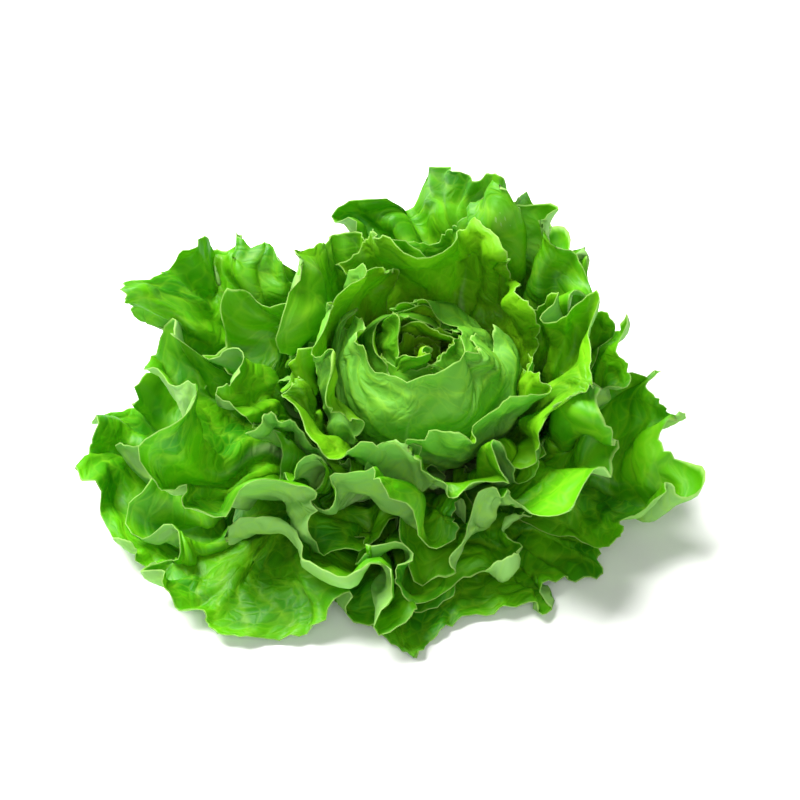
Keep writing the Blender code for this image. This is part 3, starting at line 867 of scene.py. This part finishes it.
def make_stem():
    """The profile's radius and height carried round the axis, with flutes as a wave of the angle."""
    radius = np.array([0, 0.5 * STEM_TOP_RADIUS, 0.8 * STEM_TOP_RADIUS, STEM_TOP_RADIUS,
                       0.5 * (STEM_TOP_RADIUS + STEM_FOOT_RADIUS), STEM_FOOT_RADIUS,
                       STEM_FOOT_RADIUS, STEM_FOOT_RADIUS - 0.7 * MM, 0.6 * STEM_FOOT_RADIUS, 0])
    height = np.array([STEM_HEIGHT, STEM_HEIGHT - 0.3 * MM, STEM_HEIGHT - 1.2 * MM,
                       STEM_HEIGHT - 3 * MM, 0.5 * STEM_HEIGHT, 2.0 * MM, 1.0 * MM, 0, 0, 0])
    angle = np.linspace(0, 2 * np.pi, 96, endpoint=False)
    flutes = 1 - FLUTE_DEPTH / STEM_FOOT_RADIUS * (1 + np.sin(11 * angle)) / 2
    ring_radius = radius[1:-1, None] * flutes
    ring_height = np.broadcast_to(height[1:-1, None], ring_radius.shape)
    rings = np.stack([ring_radius * np.cos(angle), ring_radius * np.sin(angle), ring_height], axis=-1)
    poles = [[0, 0, height[0]], [0, 0, height[-1]]]
    points = np.concatenate([rings.reshape(-1, 3), poles])
    index = np.arange(rings.shape[0] * rings.shape[1]).reshape(rings.shape[:2])
    following = np.roll(index, -1, axis=1)
    sides = np.stack([index[:-1], index[1:], following[1:], following[:-1]], axis=-1).reshape(-1, 4)
    top = np.column_stack([index[0], following[0], np.full(len(angle), index.size)])
    foot = np.column_stack([following[-1], index[-1], np.full(len(angle), index.size + 1)])
    mesh = bpy.data.meshes.new("cut_stem")
    mesh.from_pydata(points.tolist(), [], sides.tolist() + top.tolist() + foot.tolist())
    mesh.update()
    mesh.shade_smooth()
    mesh.set_sharp_from_angle(angle=math.radians(50))
    stem = bpy.data.objects.new("cut_stem", mesh)
    bpy.context.scene.collection.objects.link(stem)
    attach(stem, "root")
    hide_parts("stem")
    return stem


stem = make_stem()
print("corners of the stem:", len(stem.data.vertices))

# %% [markdown]
# The material of the leaves
#
# A fresh leaf has a thin waxy skin over wet green tissue: it shines softly, like water with an index
# of refraction near 1.4, and it lets a part of the light through, which comes out yellower than what
# it sends back. The upper side is full green. The underside is paler and duller, because air lies
# between its cells. Ribs and the foot of the leaf hold little green and look whitish. Along the
# margin a thin pale line is painted into the colour, a painted glow for the light that passes along
# the blade.

# %% Colour and node helpers
# Sockets of the Mix node when it blends two colours
SHARE, FIRST, SECOND, BLEND = 0, 6, 7, 2
# Settings that many of the nodes have: a mix of colours, and a range with level ends
COLOURS = dict(data_type="RGBA")
EASED = dict(interpolation_type="SMOOTHSTEP")


def linear(hex_colour):
    """sRGB hex to linear: a straight line near black and a power of 2.4 above."""
    values = [int(hex_colour[k:k + 2], 16) / 255 for k in (1, 3, 5)]
    return (*(v / 12.92 if v <= 0.04045 else ((v + 0.055) / 1.055) ** 2.4 for v in values), 1)


def add_node(owner, kind, settings, inputs):
    """Adds a node to a material or the world, and links each input to a socket or sets its value."""
    node = owner.node_tree.nodes.new(kind)
    for name, value in settings.items():
        setattr(node, name, value)
    for place, value in inputs.items():
        if isinstance(value, bpy.types.NodeSocket):
            owner.node_tree.links.new(value, node.inputs[place])
        else:
            node.inputs[place].default_value = value
    return node.outputs


# %% Patterns on a leaf
def leaf_patterns(material):
    """What the colour and the relief share: places in mm, the patches and the net of fine veins."""
    flat = add_node(material, "ShaderNodeUVMap", {"uv_map": "OFBake"}, {})["UV"]
    in_mm = add_node(material, "ShaderNodeMapping", {},
                     {"Vector": flat, "Scale": (SHEET_WIDTH / MM, SHEET_LENGTH / MM, 1)})["Vector"]
    patches = add_node(material, "ShaderNodeTexNoise", {},
                       {"Vector": in_mm, "Scale": 1 / PATCH_SIZE, "Detail": 3.0})["Fac"]
    patches = add_node(material, "ShaderNodeMapRange", EASED,
                       {"Value": patches, "From Min": 0.22, "From Max": 0.78})["Result"]
    wander = add_node(material, "ShaderNodeTexNoise", {},
                      {"Vector": in_mm, "Scale": 1 / WANDER_SIZE, "Detail": 1.0})["Color"]
    bent = add_node(material, "ShaderNodeVectorMath", {"operation": "MULTIPLY_ADD"},
                    {0: wander, 1: (NET_WANDER, NET_WANDER, 0), 2: in_mm})["Vector"]
    net = add_node(material, "ShaderNodeTexVoronoi", {"feature": "DISTANCE_TO_EDGE"},
                   {"Vector": bent, "Scale": 1 / NET_SIZE})["Distance"]
    return in_mm, patches, net


# %% Colour of a leaf
DEEP_GREEN = "#2C8A02"
FRESH_GREEN = "#6FC804"
YOUNG_GREEN = "#A2DE18"
UNDER_GREEN = "#98CA70"
YOUNG_UNDER = "#5AB002"
VEIN_PALE = "#A8E02C"
RIB_PALE = "#DDEBB2"
# Painted glow: the pale line at the margin stands in for light that passes along the blade
PAINTED_RIM_GLOW = "#CCEC84"
LIGHT_THROUGH = "#B8E414"
# Sizes of the patterns in mm. The net's lines are given as a part of its cells' size.
PATCH_SIZE = 24
NET_SIZE = 5.5
NET_LINE = 0.11
NET_WANDER = 5.0
WANDER_SIZE = 9.0
PAINTED_GLOW_WIDTH = 0.7
FOOT_STARTS = 8.0
FOOT_ENDS = 44.0
# How much each paler colour takes over where it is strongest
YOUTH_SHARE = 0.7
PATCH_SHARE = 0.4
NET_SHARE = 0.16
VEIN_SHARE = 0.3
FOOT_SHARE = 0.8
RIB_SHARE = 0.7
PAINTED_GLOW_SHARE = 0.5


def leaf_colour(material, in_mm, patches, net):
    """Two greens in patches, paler below and in the young, then the veins, the foot and a painted
    glow at the rim.
    """
    kept = {name: add_node(material, "ShaderNodeAttribute", {"attribute_name": name}, {})["Fac"]
            for name in ("upper_side", "from_margin", "midrib", "vein", "age")}
    youth = add_node(material, "ShaderNodeMapRange", EASED,
                     {"Value": kept["age"], "From Min": 0.60, "From Max": 0.05})["Result"]
    some_youth = add_node(material, "ShaderNodeMath", {"operation": "MULTIPLY"},
                          {0: youth, 1: YOUTH_SHARE})["Value"]
    above = add_node(material, "ShaderNodeMix", COLOURS,
                     {SHARE: patches, FIRST: linear(DEEP_GREEN),
                      SECOND: linear(FRESH_GREEN)})[BLEND]
    above = add_node(material, "ShaderNodeMix", COLOURS,
                     {SHARE: some_youth, FIRST: above, SECOND: linear(YOUNG_GREEN)})[BLEND]
    below = add_node(material, "ShaderNodeMix", COLOURS,
                     {SHARE: youth, FIRST: linear(UNDER_GREEN),
                      SECOND: linear(YOUNG_UNDER)})[BLEND]
    some_patches = add_node(material, "ShaderNodeMath", {"operation": "MULTIPLY"},
                            {0: patches, 1: PATCH_SHARE})["Value"]
    below = add_node(material, "ShaderNodeMix", COLOURS,
                     {SHARE: some_patches, FIRST: below, SECOND: linear(FRESH_GREEN)})[BLEND]
    green = add_node(material, "ShaderNodeMix", COLOURS,
                     {SHARE: kept["upper_side"], FIRST: below, SECOND: above})[BLEND]

    net_lines = add_node(material, "ShaderNodeMapRange", EASED,
                         {"Value": net, "From Min": NET_LINE, "From Max": 0.0,
                          "To Max": NET_SHARE})["Result"]
    veins = add_node(material, "ShaderNodeMath", {"operation": "MULTIPLY_ADD"},
                     {0: kept["vein"], 1: VEIN_SHARE, 2: net_lines})["Value"]
    height = add_node(material, "ShaderNodeSeparateXYZ", {}, {"Vector": in_mm})["Y"]
    foot = add_node(material, "ShaderNodeMapRange", EASED,
                    {"Value": height, "From Min": FOOT_ENDS, "From Max": FOOT_STARTS,
                     "To Max": FOOT_SHARE})["Result"]
    rib = add_node(material, "ShaderNodeMapRange", EASED,
                   {"Value": kept["midrib"], "From Min": 0.06, "From Max": 0.55,
                    "To Max": RIB_SHARE})["Result"]
    pale = add_node(material, "ShaderNodeMath", {"operation": "MAXIMUM"}, {0: foot, 1: rib})["Value"]
    green = add_node(material, "ShaderNodeMix", COLOURS,
                     {SHARE: veins, FIRST: green, SECOND: linear(VEIN_PALE)})[BLEND]
    green = add_node(material, "ShaderNodeMix", COLOURS,
                     {SHARE: pale, FIRST: green, SECOND: linear(RIB_PALE)})[BLEND]
    # Painted glow: a pale line along the margin, painted in for light that passes along the blade
    rim = add_node(material, "ShaderNodeMapRange", EASED,
                   {"Value": kept["from_margin"], "From Min": PAINTED_GLOW_WIDTH, "From Max": 0.0,
                    "To Max": PAINTED_GLOW_SHARE})["Result"]
    green = add_node(material, "ShaderNodeMix", COLOURS,
                     {SHARE: rim, FIRST: green, SECOND: linear(PAINTED_RIM_GLOW)})[BLEND]
    return green, kept["upper_side"]


# %% Lettuce leaf
GRAIN_SIZE = 1.4
GRAIN_SHARE = 0.3
RELIEF_STRENGTH = 0.6
TINT_SHARE = 0.35
THROUGH_SHARE = 0.42


def leaf_tissue():
    """A waxy skin over green tissue, mixed with the share of the light that comes through it."""
    material = bpy.data.materials.new("lettuce leaf tissue")
    material.use_nodes = True
    shader = material.node_tree.nodes["Principled BSDF"]
    in_mm, patches, net = leaf_patterns(material)
    green, upper_side = leaf_colour(material, in_mm, patches, net)
    dome = add_node(material, "ShaderNodeMapRange", EASED,
                    {"Value": net, "From Max": 0.4})["Result"]
    grain = add_node(material, "ShaderNodeTexNoise", {},
                     {"Vector": in_mm, "Scale": 1 / GRAIN_SIZE, "Detail": 2.0})["Fac"]
    relief = add_node(material, "ShaderNodeMath", {"operation": "MULTIPLY_ADD"},
                      {0: grain, 1: GRAIN_SHARE, 2: dome})["Value"]
    bump = add_node(material, "ShaderNodeBump", {},
                    {"Height": relief, "Strength": RELIEF_STRENGTH,
                     "Distance": 0.5 * MM})["Normal"]
    rough = add_node(material, "ShaderNodeMapRange", {},
                     {"Value": upper_side, "To Min": 0.60, "To Max": 0.46})["Result"]
    links = material.node_tree.links
    links.new(green, shader.inputs["Base Color"])
    links.new(bump, shader.inputs["Normal"])
    links.new(rough, shader.inputs["Roughness"])
    shader.inputs["IOR"].default_value = 1.42
    shader.inputs["Specular IOR Level"].default_value = 0.42

    glow = add_node(material, "ShaderNodeMix", {"data_type": "RGBA", "blend_type": "MULTIPLY"},
                    {SHARE: TINT_SHARE, FIRST: green, SECOND: linear(LIGHT_THROUGH)})[BLEND]
    through = add_node(material, "ShaderNodeBsdfTranslucent", {},
                       {"Color": glow, "Normal": bump})["BSDF"]
    both = add_node(material, "ShaderNodeMixShader", {},
                    {0: THROUGH_SHARE, 1: shader.outputs["BSDF"], 2: through})["Shader"]
    links.new(both, material.node_tree.nodes["Material Output"].inputs["Surface"])
    return material


tissue = leaf_tissue()
for leaf in leaves:
    leaf.data.materials.append(tissue)
print("nodes in the leaf material:", len(tissue.node_tree.nodes))


# %% [markdown]
# The stem's material
#
# The stem is pale green, firm and wet. Its cut end has begun to turn tan at the rim, where milky
# sap has dried.

# %% Lettuce stem
STEM_GREEN = "#B9CF7E"
STEM_STREAK = "#D8E3B0"
CUT_TAN = "#C9A873"
STREAK_WIDTH = 2 * MM
STREAK_LENGTH = 14 * MM


def stem_tissue():
    """Pale green in streaks along the stem, and tan where the cut end has dried."""
    material = bpy.data.materials.new("cut lettuce stem")
    material.use_nodes = True
    shader = material.node_tree.nodes["Principled BSDF"]
    place = add_node(material, "ShaderNodeTexCoord", {}, {})["Object"]
    streaks = add_node(material, "ShaderNodeMapping", {},
                       {"Vector": place, "Scale": (1 / STREAK_WIDTH, 1 / STREAK_WIDTH,
                                                   1 / STREAK_LENGTH)})["Vector"]
    tone = add_node(material, "ShaderNodeTexNoise", {},
                    {"Vector": streaks, "Scale": 1.0, "Detail": 3.0})["Fac"]
    light = add_node(material, "ShaderNodeMapRange", EASED,
                     {"Value": tone, "From Min": 0.3, "From Max": 0.7})["Result"]
    side = add_node(material, "ShaderNodeMix", COLOURS,
                    {SHARE: light, FIRST: linear(STEM_GREEN), SECOND: linear(STEM_STREAK)})[BLEND]
    height = add_node(material, "ShaderNodeSeparateXYZ", {}, {"Vector": place})["Z"]
    cut = add_node(material, "ShaderNodeMapRange", EASED,
                   {"Value": height, "From Min": 0.9 * MM, "From Max": 0.2 * MM,
                    "To Max": 0.75})["Result"]
    colour = add_node(material, "ShaderNodeMix", COLOURS,
                      {SHARE: cut, FIRST: side, SECOND: linear(CUT_TAN)})[BLEND]
    bump = add_node(material, "ShaderNodeBump", {},
                    {"Height": tone, "Strength": 0.4, "Distance": 0.4 * MM})["Normal"]
    material.node_tree.links.new(colour, shader.inputs["Base Color"])
    material.node_tree.links.new(bump, shader.inputs["Normal"])
    shader.inputs["Roughness"].default_value = 0.5
    shader.inputs["IOR"].default_value = 1.4
    return material


stem.data.materials.append(stem_tissue())
print("the stem's material:", stem.data.materials[0].name)

# %% [markdown]
# Camera, floor and light
#
# The photograph looks down on the head at about 38 degrees from close by, on pure white, with one
# large soft light from the upper left and a little behind. The pale room round the table and a weak
# light in front fill the shadows, and the floor throws light up into the undersides of the leaves.

# %% Camera
VIEW_ELEVATION = math.radians(38)
VIEW_DISTANCE = 0.90
VIEW_TARGET = Vector((-0.0095, 0, 0.047))

camera_data = bpy.data.cameras.new("camera")
camera_data.lens = 85
camera = bpy.data.objects.new("camera", camera_data)
bpy.context.scene.collection.objects.link(camera)
towards_camera = Vector((0, -math.cos(VIEW_ELEVATION), math.sin(VIEW_ELEVATION)))
camera.location = VIEW_TARGET + towards_camera * VIEW_DISTANCE
camera.rotation_euler = (-towards_camera).to_track_quat("-Z", "Y").to_euler()
bpy.context.scene.camera = camera
bpy.context.scene.view_settings.view_transform = "Standard"

# %% Floor
FLOOR_SIZE = 3.2
PAPER_WHITE = "#F6F6F4"

bpy.ops.mesh.primitive_plane_add(size=FLOOR_SIZE)
floor = bpy.context.object
floor.name = "floor"
paper = bpy.data.materials.new("white paper")
paper.use_nodes = True
paper.node_tree.nodes["Principled BSDF"].inputs["Base Color"].default_value = linear(PAPER_WHITE)
paper.node_tree.nodes["Principled BSDF"].inputs["Roughness"].default_value = 0.9
floor.data.materials.append(paper)

# %% Light
ROOM_ABOVE = 0.15
ROOM_AROUND = 0.97
KEY_PLACE = Vector((-1.30, 0.94, 2.65))
KEY_SIZE = 2.0
KEY_WATTS = 300
FILL_PLACE = Vector((0.1, -1.1, 0.75))
FILL_SIZE = 1.0
FILL_WATTS = 9
LIT_POINT = Vector((0, 0, 0.05))

world = bpy.data.worlds.new("studio")
bpy.context.scene.world = world
world.use_nodes = True
direction = add_node(world, "ShaderNodeTexCoord", {}, {})["Generated"]
height = add_node(world, "ShaderNodeSeparateXYZ", {}, {"Vector": direction})["Z"]
room = add_node(world, "ShaderNodeMapRange", EASED,
                {"Value": height, "From Max": 0.4, "To Min": ROOM_AROUND,
                 "To Max": ROOM_ABOVE})["Result"]
world.node_tree.nodes["Background"].inputs["Color"].default_value = (1, 1, 1, 1)
world.node_tree.links.new(room, world.node_tree.nodes["Background"].inputs["Strength"])


def soft_box(name, place, size, power):
    """A square area light that faces the middle of the head."""
    data = bpy.data.lights.new(name, "AREA")
    data.size = size
    data.energy = power
    light = bpy.data.objects.new(name, data)
    light.location = place
    light.rotation_euler = (LIT_POINT - place).to_track_quat("-Z", "Y").to_euler()
    bpy.context.scene.collection.objects.link(light)
    return light


key = soft_box("key", KEY_PLACE, KEY_SIZE, KEY_WATTS)
fill = soft_box("fill", FILL_PLACE, FILL_SIZE, FILL_WATTS)
print("lights:", key.name, fill.name)
